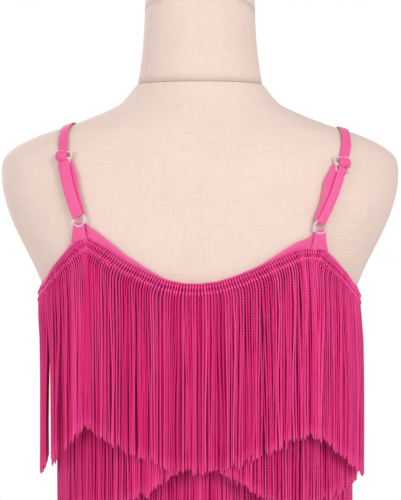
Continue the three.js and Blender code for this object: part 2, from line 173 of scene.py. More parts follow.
def softened_edge():
    """The sewn edge of the top fringe all round, as heights for every quarter degree."""
    turns = np.arange(-180, 540, 0.25)
    from_seam, is_back, is_left = place_on(turns)
    rows = np.array(EDGE, float)
    kinds = [np.interp(from_seam, rows[:, 0], rows[:, k]) for k in (1, 2, 3, 4)]
    back, front = (np.where(is_left, *kinds[k:k + 2]) for k in (0, 2))
    heights = np.where(is_back, back, front)
    reach = np.arange(-24, 25)
    kernel = np.exp(-((reach * 0.25 / 1.6) ** 2))
    return turns, np.convolve(heights, kernel / kernel.sum(), "same")


EDGE_TURNS, EDGE_HEIGHTS = softened_edge()


def edge_height(angle):
    return np.interp(np.mod(angle, 360), EDGE_TURNS, EDGE_HEIGHTS)


def panel_top(angle):
    """The jersey's upper edge, which shows above the fringe beside each strap and runs up to its ring."""
    from_seam, is_back, is_left = place_on(angle)
    away = from_seam - np.where(is_back, BACK_PEAK, FRONT_PEAK)
    neck_reach = np.where(is_left, 34, 22)
    neck = 10 * np.clip(1 - away / neck_reach, 0, 1) ** 1.3
    arm = 2.6 + 7.4 * np.exp(-np.clip(-away, 0, None) / 3)
    spike = 7 * np.exp(-((np.abs(away + 1.5) / 2.2) ** 2.2))
    return edge_height(angle) + 1.2 + np.where(away > 0, neck, arm) + spike


def tier_top(index, angle):
    if index == 0:
        return edge_height(angle)
    _, back, back_dip, left, right, front_dip, front = TIERS[index]
    from_seam, is_back, is_left = place_on(angle)
    side = np.where(is_left, left, right)
    dip = np.where(is_back, back_dip, front_dip)
    middle = np.where(is_back, back, front)
    outer = side + (dip - side) * ramp(from_seam, 0, DIP_ANGLE)
    inner_part = dip + (middle - dip) * ramp(from_seam, DIP_ANGLE, 90)
    return np.where(from_seam < DIP_ANGLE, outer, inner_part)


KNOTS = np.linspace(HIP_HEIGHT, 1300, 28)


def widest(angle, low, high):
    """The widest that the jersey is anywhere between two heights."""
    best = np.maximum(cloth_radius(angle, low), cloth_radius(angle, high))
    for knot in KNOTS:
        inside = (knot > low) & (knot < high)
        best = np.where(inside, np.maximum(best, cloth_radius(angle, knot)), best)
    return best


def hang_radius(index, angle, height):
    """Where a tier hangs: straight down, pushed out by the body and by the tier beneath."""
    top = tier_top(index, angle)
    height = np.minimum(height, top)
    ease = SEWN_EASE + (FRINGE_EASE - SEWN_EASE) * ramp(top - height, 0, 25)
    radius = widest(angle, height, top) + JERSEY + ease
    if index + 1 < len(TIERS):
        next_top = tier_top(index + 1, angle)
        beneath = hang_radius(index + 1, angle, np.minimum(height, next_top)) + TIER_PITCH
        over = ramp(next_top + LEAD - height, -6, 6)
        radius = np.where(beneath > radius, radius + (beneath - radius) * over, radius)
    return radius


def at(angle, radius, height):
    """Points in metres, in the frame."""
    turn = np.radians(angle)
    return np.stack([radius * np.cos(turn), radius * np.sin(turn), height * np.ones_like(radius)], -1) * MM


# ---------- Meshes ----------


def clear_selection():
    if bpy.context.object and bpy.context.object.mode != "OBJECT":
        bpy.ops.object.mode_set(mode="OBJECT")
    bpy.ops.object.select_all(action="DESELECT")


def make_active(piece):
    clear_selection()
    piece.select_set(True)
    bpy.context.view_layer.objects.active = piece


def piece_from(name, points, quads, uv=None):
    """A new piece from arrays of points and of four-cornered faces, with an optional UV for each point."""
    mesh = bpy.data.meshes.new(name)
    points = np.ascontiguousarray(points, np.float32).reshape(-1, 3)
    quads = np.ascontiguousarray(quads, np.int32).reshape(-1, 4)
    mesh.vertices.add(len(points))
    mesh.vertices.foreach_set("co", points.ravel())
    mesh.loops.add(quads.size)
    mesh.loops.foreach_set("vertex_index", quads.ravel())
    mesh.polygons.add(len(quads))
    mesh.polygons.foreach_set("loop_start", np.arange(0, quads.size, 4, dtype=np.int32))
    mesh.polygons.foreach_set("use_smooth", np.ones(len(quads), bool))
    mesh.update(calc_edges=True)
    if uv is not None:
        layer = mesh.uv_layers.new(name="Cloth")
        layer.data.foreach_set("uv", np.asarray(uv, np.float32).reshape(-1, 2)[quads.ravel()].ravel())
    mesh.validate()
    piece = bpy.data.objects.new(name, mesh)
    bpy.context.scene.collection.objects.link(piece)
    return piece


def grid_quads(rows, columns, closed=False):
    """Faces of a grid of points, and with closed its last column joined to its first."""
    strips = columns if closed else columns - 1
    row, column = np.meshgrid(np.arange(rows - 1), np.arange(strips), indexing="ij")
    above = row * columns
    below = above + columns
    after = (column + 1) % columns
    return np.stack((above + column, below + column, below + after, above + after), -1).reshape(-1, 4)


def add_modifier(piece, kind, **settings):
    make_active(piece)
    bpy.ops.object.modifier_add(type=kind)
    modifier = piece.modifiers[-1]
    for key, value in settings.items():
        setattr(modifier, key, value)
    bpy.ops.object.modifier_apply(modifier=modifier.name)


def shade_smooth(piece, degrees):
    """Smooth shading that leaves edges sharper than this crisp."""
    make_active(piece)
    bpy.ops.object.shade_smooth_by_angle(angle=math.radians(degrees))


def face_outwards(piece):
    make_active(piece)
    bpy.ops.object.mode_set(mode="EDIT")
    bpy.ops.mesh.select_all(action="SELECT")
    bpy.ops.mesh.normals_make_consistent(inside=False)
    bpy.ops.object.mode_set(mode="OBJECT")


def finish_piece(piece, material, slot, *nodes):
    piece.data.materials.clear()
    piece.data.materials.append(material)
    if nodes:
        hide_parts(*nodes)
    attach(piece, "root")
    return piece


def smooth_copy(node, name, crease_over):
    """A copy of a CAD node, merged, its flat ends kept crisp, and rounded by subdivision."""
    piece = frame["nodes"][node].copy()
    piece.data = frame["nodes"][node].data.copy()
    piece.name = name
    piece.parent = None
    # Without these marks the copy is a new visible piece, and not the CAD's own.
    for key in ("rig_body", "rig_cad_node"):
        if key in piece:
            del piece[key]
    bpy.context.scene.collection.objects.link(piece)
    make_active(piece)
    bpy.ops.object.mode_set(mode="EDIT")
    bpy.ops.mesh.select_all(action="SELECT")
    bpy.ops.mesh.remove_doubles(threshold=1e-5)
    bpy.ops.mesh.tris_convert_to_quads(face_threshold=math.radians(60), shape_threshold=math.radians(60))
    bpy.ops.mesh.select_all(action="DESELECT")
    bpy.ops.mesh.select_mode(type="EDGE")
    bpy.ops.mesh.edges_select_sharp(sharpness=crease_over)
    bpy.ops.transform.edge_crease(value=1)
    bpy.ops.object.mode_set(mode="OBJECT")
    add_modifier(piece, "SUBSURF", levels=2, render_levels=2)
    shade_smooth(piece, 50)
    return piece


# ---------- Node groups and materials ----------


def new_tree(name, inputs, outputs):
    """An empty node group with float or colour sockets. Values are (kind, default)."""
    tree = bpy.data.node_groups.new(name, "ShaderNodeTree")
    for label, (kind, default) in inputs.items():
        socket = tree.interface.new_socket(name=label, in_out="INPUT", socket_type=kind)
        if default is not None:
            socket.default_value = default
    for label, kind in outputs.items():
        tree.interface.new_socket(name=label, in_out="OUTPUT", socket_type=kind)
    return tree, tree.nodes.new("NodeGroupInput"), tree.nodes.new("NodeGroupOutput")


def set_inputs(tree, node, inputs):
    """Links each socket given to an input, and sets the other inputs to their plain values."""
    for key, value in inputs.items():
        if isinstance(value, bpy.types.NodeSocket):
            tree.links.new(value, node.inputs[key])
        else:
            node.inputs[key].default_value = value


def add_node(tree, kind, inputs=None, **settings):
    node = tree.nodes.new(kind)
    for key, value in settings.items():
        setattr(node, key, value)
    set_inputs(tree, node, inputs or {})
    return node


def math_node(tree, operation, first, second=0.5, third=None):
    values = {0: first, 1: second}
    if third is not None:
        values[2] = third
    return add_node(tree, "ShaderNodeMath", values, operation=operation).outputs[0]


def mix_colour(tree, share, first, second):
    inputs = {0: share, 6: first, 7: second}
    return add_node(tree, "ShaderNodeMix", inputs, data_type="RGBA").outputs[2]


def rescaled(tree, value, low, high, to_low=0.0, to_high=1.0):
    """A value carried from one range to another and held inside it."""
    inputs = {"Value": value, "From Min": low, "From Max": high, "To Min": to_low, "To Max": to_high}
    return add_node(tree, "ShaderNodeMapRange", inputs).outputs[0]


def bumped(tree, height, strength, distance):
    inputs = {"Height": height, "Strength": strength, "Distance": distance}
    return add_node(tree, "ShaderNodeBump", inputs).outputs[0]


def new_material(name):
    material = bpy.data.materials.new(name)
    material.use_nodes = True
    tree = material.node_tree
    return material, tree, tree.nodes["Principled BSDF"]


def weave_group():
    """A slubby plain weave over Cloth UV in metres: its height, its thick yarns and its cloudiness."""
    tree, start, end = new_tree(
        "Linen weave",
        {"Place": ("NodeSocketVector", None), "Yarns per metre": ("NodeSocketFloat", 800.0)},
        {"Height": "NodeSocketFloat", "Slubs": "NodeSocketFloat", "Cloudy": "NodeSocketFloat"},
    )
    place = start.outputs["Place"]
    heights = []
    slubs = []
    for stretch in ((1.0, 0.06, 1.0), (0.06, 1.0, 1.0)):
        mapped = add_node(tree, "ShaderNodeMapping", {"Vector": place, "Scale": stretch}).outputs[0]
        yarn = add_node(
            tree, "ShaderNodeTexNoise",
            {"Vector": mapped, "Scale": start.outputs["Yarns per metre"], "Detail": 2.0, "Roughness": 0.6},
        )
        heights.append(yarn.outputs["Fac"])
        slub = add_node(tree, "ShaderNodeTexNoise", {"Vector": mapped, "Scale": 420.0, "Detail": 1.0})
        slubs.append(rescaled(tree, slub.outputs["Fac"], 0.6, 0.78))
    woven = math_node(tree, "ADD", heights[0], heights[1])
    tree.links.new(woven, end.inputs["Height"])
    tree.links.new(math_node(tree, "MAXIMUM", slubs[0], slubs[1]), end.inputs["Slubs"])
    cloud = add_node(tree, "ShaderNodeTexNoise", {"Vector": place, "Scale": 16.0, "Detail": 3.0})
    tree.links.new(cloud.outputs["Fac"], end.inputs["Cloudy"])
    return tree


def linen_material(settings):
    material, tree, shader = new_material("Cream linen cover")
    place = add_node(tree, "ShaderNodeUVMap", uv_map="Cloth").outputs[0]
    weave = add_node(tree, "ShaderNodeGroup", node_tree=weave_group())
    tree.links.new(place, weave.inputs["Place"])
    base = tuple(settings.linen)
    pale = tuple(min(1, c * 1.06) for c in base[:3]) + (1,)
    rosy = (base[0] * 0.97, base[1] * 0.91, base[2] * 0.9, 1)
    deep = (base[0] * 0.8, base[1] * 0.74, base[2] * 0.72, 1)
    colour = mix_colour(tree, weave.outputs["Cloudy"], rosy, pale)
    # Painted shade: the weave's low points between the yarns are darkened towards deep. The slubs below are
    # the cloth's own darker thick yarns.
    yarn = rescaled(tree, weave.outputs["Height"], 0.75, 1.25, 0.34, 0.0)
    colour = mix_colour(tree, yarn, colour, deep)
    colour = mix_colour(tree, math_node(tree, "MULTIPLY", weave.outputs["Slubs"], 0.22), colour, deep)
    set_inputs(tree, shader, {
        "Base Color": colour,
        "Normal": bumped(tree, weave.outputs["Height"], 0.35, 0.0006),
        "Roughness": 0.88,
        "Specular IOR Level": 0.25,
        "Sheen Weight": 0.12,
        "Sheen Roughness": 0.5,
    })
    return material


def knit_group():
    """Fine knit ribs along the cloth: a height from two crossed waves over Cloth UV in metres."""
    tree, start, end = new_tree(
        "Fine knit",
        {"Place": ("NodeSocketVector", None), "Ribs per metre": ("NodeSocketFloat", 1500.0)},
        {"Height": "NodeSocketFloat", "Uneven": "NodeSocketFloat"},
    )
    place = start.outputs["Place"]
    axes = add_node(tree, "ShaderNodeSeparateXYZ", {"Vector": place})
    waves = []
    for axis, share in (("X", 6.2832), ("Y", 3.6)):
        turns = math_node(tree, "MULTIPLY", axes.outputs[axis], start.outputs["Ribs per metre"])
        waves.append(math_node(tree, "SINE", math_node(tree, "MULTIPLY", turns, share)))
    crossed = math_node(tree, "MULTIPLY", waves[0], waves[1])
    height = math_node(tree, "MULTIPLY_ADD", crossed, 0.5, 0.5)
    tree.links.new(height, end.inputs["Height"])
    uneven = add_node(tree, "ShaderNodeTexNoise", {"Vector": place, "Scale": 60.0, "Detail": 3.0})
    tree.links.new(uneven.outputs["Fac"], end.inputs["Uneven"])
    return tree


def jersey_material(settings):
    material, tree, shader = new_material("Pink stretch jersey")
    place = add_node(tree, "ShaderNodeUVMap", uv_map="Cloth").outputs[0]
    knit = add_node(tree, "ShaderNodeGroup", node_tree=knit_group())
    tree.links.new(place, knit.inputs["Place"])
    base = tuple(settings.jersey)
    deep = (base[0] * 0.86, base[1] * 0.6, base[2] * 0.8, 1)
    colour = mix_colour(tree, knit.outputs["Uneven"], deep, base)
    set_inputs(tree, shader, {
        "Base Color": colour,
        "Roughness": rescaled(tree, knit.outputs["Uneven"], 0.0, 1.0, 0.46, 0.6),
        "Normal": bumped(tree, knit.outputs["Height"], 0.25, 0.0003),
        "Sheen Weight": 0.35,
        "Sheen Roughness": 0.35,
        "Sheen Tint": (1.0, 0.62, 0.8, 1),
    })
    return material


def twist_group():
    """Twisted yarn: slanting plies round a strand, over Cloth UV (turns round it, metres along it), with a
    mask of painted shade for the grooves between the plies.
    """
    tree, start, end = new_tree(
        "Yarn twist",
        {"Place": ("NodeSocketVector", None), "Twists per metre": ("NodeSocketFloat", 380.0)},
        {"Height": "NodeSocketFloat", "Groove shade": "NodeSocketFloat"},
    )
    axes = add_node(tree, "ShaderNodeSeparateXYZ", {"Vector": start.outputs["Place"]})
    along = math_node(tree, "MULTIPLY", axes.outputs["Y"], start.outputs["Twists per metre"])
    slant = math_node(tree, "ADD", along, axes.outputs["X"])
    wave = math_node(tree, "SINE", math_node(tree, "MULTIPLY", slant, 6.2832))
    height = math_node(tree, "MULTIPLY_ADD", wave, 0.5, 0.5)
    tree.links.new(height, end.inputs["Height"])
    # Painted shade: this mask is 1 in the grooves between the plies, where the strand's colour is darkened.
    tree.links.new(rescaled(tree, height, 0.35, 0.0), end.inputs["Groove shade"])
    return tree


def fringe_material(settings):
    material, tree, shader = new_material("Pink twisted fringe")
    place = add_node(tree, "ShaderNodeUVMap", uv_map="Cloth").outputs[0]
    shade = add_node(
        tree, "ShaderNodeAttribute", attribute_name="strand_tone_and_painted_light", attribute_type="GEOMETRY",
    )
    twist = add_node(tree, "ShaderNodeGroup", node_tree=twist_group())
    tree.links.new(place, twist.inputs["Place"])
    base = tuple(settings.fringe)
    pale = (min(1, base[0] * 1.35), base[1] + 0.07, base[2] * 2.2, 1)
    deep = (base[0] * 0.62, base[1] * 0.4, base[2] * 0.5, 1)
    fleck = add_node(tree, "ShaderNodeMapping", {"Vector": place, "Scale": (3.0, 90.0, 1.0)})
    noise = add_node(tree, "ShaderNodeTexNoise", {"Vector": fleck.outputs[0], "Scale": 1.0, "Detail": 2.0})
    uneven = math_node(tree, "MULTIPLY_ADD", noise.outputs["Fac"], 1.1, -0.55)
    share = add_node(
        tree, "ShaderNodeMath", {0: shade.outputs["Fac"], 1: uneven}, operation="ADD", use_clamp=True,
    )
    # Painted light: the strands' per-point attribute mixes base towards pale. It holds a random tone for each
    # strand, painted shade on the under layer and a painted highlight on the header loops.
    colour = mix_colour(tree, share.outputs[0], base, pale)
    # Painted shade: the grooves between the plies are darkened towards deep.
    colour = mix_colour(tree, math_node(tree, "MULTIPLY", twist.outputs["Groove shade"], 0.6), colour, deep)
    set_inputs(tree, shader, {
        "Base Color": colour,
        "Normal": bumped(tree, twist.outputs["Height"], 0.5, 0.0004),
        "Roughness": 0.38,
        "Specular IOR Level": 0.6,
        "Specular Tint": (1.0, 0.5, 0.78, 1),
        "Sheen Weight": 0.08,
        "Sheen Roughness": 0.4,
        "Sheen Tint": (1.0, 0.5, 0.8, 1),
    })
    return material


def scuffed_group():
    tree, start, end = new_tree(
        "Handled surface",
        {"Place": ("NodeSocketVector", None), "Scale": ("NodeSocketFloat", 40.0)},
        {"Marks": "NodeSocketFloat"},
    )
    noise = add_node(
        tree, "ShaderNodeTexNoise",
        {"Vector": start.outputs["Place"], "Scale": start.outputs["Scale"], "Detail": 5.0, "Roughness": 0.6},
    )
    tree.links.new(rescaled(tree, noise.outputs["Fac"], 0.35, 0.7), end.inputs["Marks"])
    return tree


def hard_material(name, group, colour, rough, metallic, marks_scale, transmission):
    material, tree, shader = new_material(name)
    place = add_node(tree, "ShaderNodeTexCoord").outputs["Object"]
    marks = add_node(tree, "ShaderNodeGroup", {"Scale": marks_scale}, node_tree=group)
    tree.links.new(place, marks.inputs["Place"])
    worn = tuple(c * 0.9 for c in colour[:3]) + (1,)
    set_inputs(tree, shader, {
        "Base Color": mix_colour(tree, marks.outputs["Marks"], colour, worn),
        "Roughness": rescaled(tree, marks.outputs["Marks"], 0.0, 1.0, rough, min(1, rough * 1.5)),
        "Metallic": metallic,
        "Transmission Weight": transmission,
    })
    return material


MATERIALS = {}


def build_materials(settings):
    scuffed = scuffed_group()
    MATERIALS["linen"] = linen_material(settings)
    MATERIALS["jersey"] = jersey_material(settings)
    MATERIALS["fringe"] = fringe_material(settings)
    # Colour, roughness, metalness, scale of the marks and how clear it is.
    for key, name, *values in (
        ("clear", "Clear plastic", (0.95, 0.86, 0.9, 1), 0.12, 0.0, 300.0, 0.45),
        ("steel", "Brushed steel", (0.62, 0.62, 0.64, 1), 0.28, 1.0, 60.0, 0.0),
        ("paint", "Cream paint", (0.84, 0.79, 0.72, 1), 0.35, 0.0, 25.0, 0.0),
    ):
        MATERIALS[key] = hard_material(name, scuffed, *values)


# ---------- The form ----------


def wrap_uv(piece):
    """Cloth UV in metres: round the body from the middle of the front, and up."""
    mesh = piece.data
    points = np.zeros(len(mesh.vertices) * 3, np.float32)
    mesh.vertices.foreach_get("co", points)
    points = points.reshape(-1, 3)
    corners = np.zeros(len(mesh.loops), np.int32)
    mesh.loops.foreach_get("vertex_index", corners)
    turn = np.arctan2(points[:, 0], -points[:, 1])[corners]
    starts = np.array([face.loop_start for face in mesh.polygons])
    counts = np.array([face.loop_total for face in mesh.polygons])
    owner = np.repeat(np.arange(len(starts)), counts)
    low = np.minimum.reduceat(turn, starts)[owner]
    high = np.maximum.reduceat(turn, starts)[owner]
    turn = np.where((high - low > math.pi) & (turn < 0), turn + 2 * math.pi, turn)
    uv = np.stack([turn * WRAP_RADIUS * MM, points[corners][:, 2]], -1)
    layer = mesh.uv_layers.get("Cloth") or mesh.uv_layers.new(name="Cloth")
    layer.data.foreach_set("uv", uv.astype(np.float32).ravel())


def torso_piece():
    """The torso as one smooth padded form, closed at its neck and base with a softened rim."""
    turns = np.arange(0, 360, 2.5)
    levels = BODY[::4, 0]
    angles = np.broadcast_to(turns, (len(levels), len(turns)))
    heights = np.broadcast_to(levels[:, None], angles.shape)
    points = at(angles, body_radius(angles, heights), heights)
    quads = grid_quads(len(levels), len(turns), closed=True)[:, ::-1]
    piece = piece_from("form_torso_linen", points, quads)
    make_active(piece)
    bpy.ops.object.mode_set(mode="EDIT")
    bpy.ops.mesh.select_all(action="SELECT")
    bpy.ops.mesh.fill_holes(sides=0)
    bpy.ops.mesh.normals_make_consistent(inside=False)
    bpy.ops.object.mode_set(mode="OBJECT")
    add_modifier(
        piece, "BEVEL", width=2.5 * MM, segments=3, limit_method="ANGLE", angle_limit=math.radians(50),
    )
    shade_smooth(piece, 50)
    return piece


def build_form():
    pieces = [("form_torso", torso_piece())]
    for node in ("form_neck", "form_neck_cap"):
        pieces.append((node, smooth_copy(node, node + "_linen", math.radians(48))))
    for node, piece in pieces:
        wrap_uv(piece)
        finish_piece(piece, MATERIALS["linen"], "form_linen", node)


def turned_piece(name, radius, low, high, bevel):
    """A round bar or disc between two heights, its edges softened."""
    clear_selection()
    bpy.ops.mesh.primitive_cylinder_add(
        vertices=96, radius=radius, depth=high - low, location=(0, 0, (low + high) / 2)
    )
    piece = bpy.context.object
    piece.name = name
    bpy.ops.object.transform_apply(location=True, rotation=True, scale=True)
    add_modifier(piece, "BEVEL", width=bevel, segments=4, limit_method="ANGLE")
    shade_smooth(piece, 40)
    return piece


def build_stand():
    for node, bevel, material, slot in (
        ("stand_foot", 0.005, "paint", "stand_paint"),
        ("stand_pole", 0.001, "steel", "stand_steel"),
        ("stand_collar", 0.004, "steel", "stand_steel"),
    ):
        low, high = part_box(node)
        piece = turned_piece(node + "_turned", high.x, low.z, high.z, bevel)
        finish_piece(piece, MATERIALS[material], slot, node)


# ---------- The jersey panels ----------

PANEL_COLUMNS = 181
PANEL_ROWS = 90


def half_turns(is_back, count, inset=0.06):
    start = 0 if is_back else 180
    return np.linspace(start + inset, start + 180 - inset, count)


def panel(is_back):
    """One fitted panel from its scooped edge to the hem, its upper edge folded double."""
    turns = half_turns(is_back, PANEL_COLUMNS)
    top = panel_top(turns)
    share = np.linspace(0, 1, PANEL_ROWS)[:, None] ** 1.35
    heights = top[None, :] + (HEM_HEIGHT - top[None, :]) * share
    angles = np.broadcast_to(turns, heights.shape)
    fold = 0.7 * (1 - ramp(top[None, :] - heights, 4.0, 6.0))
    pull = 0.5 * np.sin(np.radians(angles) * 46) * np.exp(-((top[None, :] - heights) / 30) ** 2)
    near_peak = np.exp(-((place_on(angles)[0] - BACK_PEAK) / 9) ** 2)
    radius = cloth_radius(angles, heights) + fold + pull * near_peak
    uv = np.stack([np.radians(angles) * WRAP_RADIUS, heights], -1) * MM
    name = "panel_back_jersey" if is_back else "panel_front_jersey"
    piece = piece_from(name, at(angles, radius, heights), grid_quads(PANEL_ROWS, PANEL_COLUMNS), uv)
    add_modifier(piece, "SOLIDIFY", thickness=JERSEY * MM, offset=1.0)
    shade_smooth(piece, 60)
    return piece


def build_panels():
    for is_back in (True, False):
        piece = panel(is_back)
        node = "panel_back" if is_back else "panel_front"
        finish_piece(piece, MATERIALS["jersey"], "jersey", node)


# ---------- The fringe ----------

STRAND_PITCH = 2.56
STRAND_SIDES = 5
HEADER_DEPTH = 12.0
HEADER_ROWS = 2
STRAND_STOPS = np.array([0.0, 0.035, 0.07, 0.105, 0.15, 0.26, 0.42, 0.6, 0.78, 0.92, 0.985, 1.0])
STRAND_TAPER = np.array([0.75, 1, 1, 1, 1, 1, 1, 1, 1, 1, 1.1, 0.35])


def header_line(index, is_back):
    """Dense points of a tier's sewn edge: angle, height, length so far and steepness."""
    turns = half_turns(is_back, 1441, 0.2)
    height = tier_top(index, turns)
    radius = hang_radius(index, turns, height)
    line = at(turns, radius, height) / MM
    steps = np.linalg.norm(np.diff(line, axis=0), axis=1)
    length = np.concatenate([[0], np.cumsum(steps)])
    level = np.radians(np.gradient(turns)) * radius
    slope = np.arctan2(np.gradient(height), level)
    return turns, height, length, slope


# Where the top fringe parts at the sides: degrees from the left side seam (negative is
# towards the front), half width in degrees, and how far down the strands it opens.
PARTINGS = (
    (17.5, 2.6, 0.34), (25.5, 2.0, 0.42), (-17.5, 2.6, 0.34), (-25.5, 2.0, 0.42),
    (9.0, 1.6, 0.6), (-9.0, 1.6, 0.6), (166.0, 1.3, 0.5), (-166.0, 1.3, 0.55), (62.0, 0.8, 0.3),
)


def gathered(count, rng):
    """How far each strand's end leans along the hem, so that strands hang in uneven bunches."""
    lean = np.zeros(count)
    start = 0
    while start < count:
        size = int(rng.integers(3, 12))
        group = np.arange(start, min(count, start + size))
        pull = rng.uniform(0.05, 0.24)
        lean[group] = (group.mean() - group) * pull * STRAND_PITCH + rng.normal(0, 0.3)
        start += size
    return lean + rng.normal(0, 0.3, count)


def parted(turn, share):
    """Degrees that strands move aside, by their place and how far down them, to open each parting."""
    signed = np.mod(turn + 180, 360) - 180
    move = np.zeros((len(turn), len(share)))
    for middle, half, start in PARTINGS:
        away = signed - middle
        push = np.sign(away) * np.clip(half - np.abs(away) * 0.5, 0, None) * (np.abs(away) < 2 * half)
        move += push[:, None] * ramp(share, start - 0.15, min(1, start + 0.4))[None, :]
    return move


def rooted(index, is_back, layer, rng):
    """The roots of one layer's strands: angle, height, slope of the sewn edge and strand length."""
    turns, height, length, slope = header_line(index, is_back)
    roots = np.arange(STRAND_PITCH * (0.25 + 0.5 * layer), length[-1], STRAND_PITCH)
    roots = roots + rng.normal(0, 0.14, len(roots))
    turn, top, steep = (np.interp(roots, length, values) for values in (turns, height, slope))
    full = TIERS[index][0] + rng.normal(0, 1.6, len(roots)) - 2.0 * layer
    return turn, top, steep, full


def fall(steep, full, tier_length):
    """How far along the hem and how far down each stop of each strand lies.
    A strand starts square to the edge and then hangs straight down."""
    fine = np.linspace(0, 1, 80)
    blend = ramp(fine * tier_length, HEADER_DEPTH - 3, HEADER_DEPTH + 8)
    tilt = steep[:, None] * (1 - blend)[None, 1:]
    step = full[:, None] / 79
    start = np.zeros((len(steep), 1))
    aside = np.concatenate([start, np.cumsum(np.sin(tilt) * step, 1)], 1)
    down = np.concatenate([start, np.cumsum(np.cos(tilt) * step, 1)], 1)
    return (np.stack([np.interp(STRAND_STOPS, fine, row) for row in rows]) for rows in (aside, down))


def strand_layer(index, is_back, layer, rng):
    """Centre lines of one layer of strands: an array of strand by stop by (x, y, z)."""
    turn, top, steep, full = rooted(index, is_back, layer, rng)
    count = len(turn)
    share = STRAND_STOPS
    aside, down = fall(steep, full, TIERS[index][0])
    sway = rng.normal(0, 0.4, (count, 1)) * np.sin(share[None, :] * rng.uniform(3, 9, (count, 1)))
    lean = gathered(count, rng)
    aside = aside + lean[:, None] * ramp(share, 0.08, 0.75)[None, :] + sway * ramp(share, 0.1, 0.3)[None, :]
    level = hang_radius(index, turn, top)
    angle = turn[:, None] + np.degrees(aside / level[:, None])
    if index == 0:
        angle = angle + parted(turn, share)
    start = 0 if is_back else 180
    angle = np.clip(angle, start - 0.3, start + 180.3)
    drop = top[:, None] - down
    radius = hang_radius(index, angle, drop) + 0.9 - 1.5 * layer
    loose = rng.normal(0, 0.35, (count, 1)) + rng.normal(0, 0.3, (count, 1)) * np.sin(share[None, :] * 7)
    radius = radius + np.clip(loose, -0.7, 0.9) * ramp(share, 0.06, 0.3)[None, :]
    radius = radius - SKIRT_LEAN * np.cos(np.radians(angle)) * ramp(down, 8, 60)
    return at(angle, radius, drop), share[None, :] * full[:, None]


def swept(paths, thickness, sides=STRAND_SIDES):
    """Tubes round many centre lines at once, as thick at each stop as given, their ends left open."""
    count, stops, _ = paths.shape
    ahead = np.gradient(paths, axis=1)
    ahead /= np.linalg.norm(ahead, axis=2, keepdims=True)
    outward = paths * np.array([1, 1, 0])
    outward /= np.linalg.norm(outward, axis=2, keepdims=True)
    across = np.cross(ahead, outward)
    across /= np.linalg.norm(across, axis=2, keepdims=True)
    outward = np.cross(across, ahead)
    turn = np.arange(sides) * 2 * np.pi / sides
    ring = outward[:, :, None] * np.cos(turn)[:, None] + across[:, :, None] * np.sin(turn)[:, None]
    points = paths[:, :, None] + ring * thickness[..., None, None]
    quads = grid_quads(stops, sides, closed=True)
    every = (np.arange(count) * stops * sides)[:, None, None] + quads[None]
    return points.reshape(-1, 3), every.reshape(-1, 4), turn


def yarn_uv(turn, down):
    """UV of swept tubes: turns round each, and metres along it for each stop."""
    around = np.broadcast_to((turn / (2 * np.pi))[None, None, :], (*down.shape[:2], STRAND_SIDES))
    return np.stack([around, np.broadcast_to(down, around.shape)], -1)


def strands(index, is_back, rng):
    """All the strands of one half of a tier, as arrays of points, faces, UV and shade."""
    points, quads, uv, shade = [], [], [], []
    total = 0
    for layer in (0, 1):
        paths, along = strand_layer(index, is_back, layer, rng)
        count = len(paths)
        thick = 0.9 * (1 + rng.normal(0, 0.08, (count, 1))) * STRAND_TAPER[None, :] * MM
        tube, faces, turn = swept(paths, thick)
        places = yarn_uv(turn, along[:, :, None] * MM + rng.uniform(0, 1, (count, 1, 1)))
        points.append(tube)
        quads.append(faces + total)
        uv.append(places.reshape(-1, 2))
        # Each strand's paleness varies at random. The under layer is made darker as painted shade, and the
        # tips are paler.
        each = np.clip(rng.normal(0.35 - 0.3 * layer, 0.25, (count, 1, 1)), 0, 1)
        tip = 0.5 * (STRAND_STOPS > 0.98)[None, :, None]
        shade.append(np.broadcast_to(each + tip, places.shape[:3]).reshape(-1))
        total += len(tube)
    return np.concatenate(points), np.concatenate(quads), np.concatenate(uv), np.concatenate(shade)


def header_loops(index, is_back, rng):
    """The stitched head of the fringe: short ridges square to the edge, nipped in by stitching."""
    turns, height, length, slope = header_line(index, is_back)
    roots = np.arange(STRAND_PITCH * 0.25, length[-1], STRAND_PITCH)
    roots = np.clip(roots + rng.normal(0, 0.1, len(roots)), 0, length[-1])
    turn, top, steep = (np.interp(roots, length, values) for values in (turns, height, slope))
    share = np.linspace(0, 1, 11)
    reach = share[None, :] * (HEADER_DEPTH + rng.normal(0, 0.5, (len(roots), 1))) - 0.6
    level = hang_radius(index, turn, top)
    angle = turn[:, None] + np.degrees(np.sin(steep)[:, None] * reach / level[:, None])
    drop = top[:, None] - np.cos(steep)[:, None] * reach
    swell = 0.5 - 0.5 * np.cos(2 * np.pi * share * HEADER_ROWS)
    paths = at(angle, hang_radius(index, angle, drop) + 1.1 + 0.75 * swell[None, :], drop)
    thick = (0.62 + 0.45 * swell) * MM * (1 + rng.normal(0, 0.05, (len(roots), 1)))
    points, quads, turn = swept(paths, thick)
    places = yarn_uv(turn, (reach * MM)[:, :, None])
    # Painted highlight: the header loops are made paler than the strands, and paler still on their raised
    # swells.
    shade = np.clip(rng.normal(0.75, 0.2, (len(paths), 1, 1)) + 0.35 * swell[None, :, None], 0, 1.4)
    return points, quads, places.reshape(-1, 2), np.broadcast_to(shade, places.shape[:3]).reshape(-1)


def with_shade(piece, shade):
    # Each point's paleness: a random tone for each strand, painted shade on the under layer and a painted
    # highlight on the header loops.
    layer = piece.data.attributes.new("strand_tone_and_painted_light", "FLOAT", "POINT")
    layer.data.foreach_set("value", np.ascontiguousarray(shade, np.float32))
    return piece


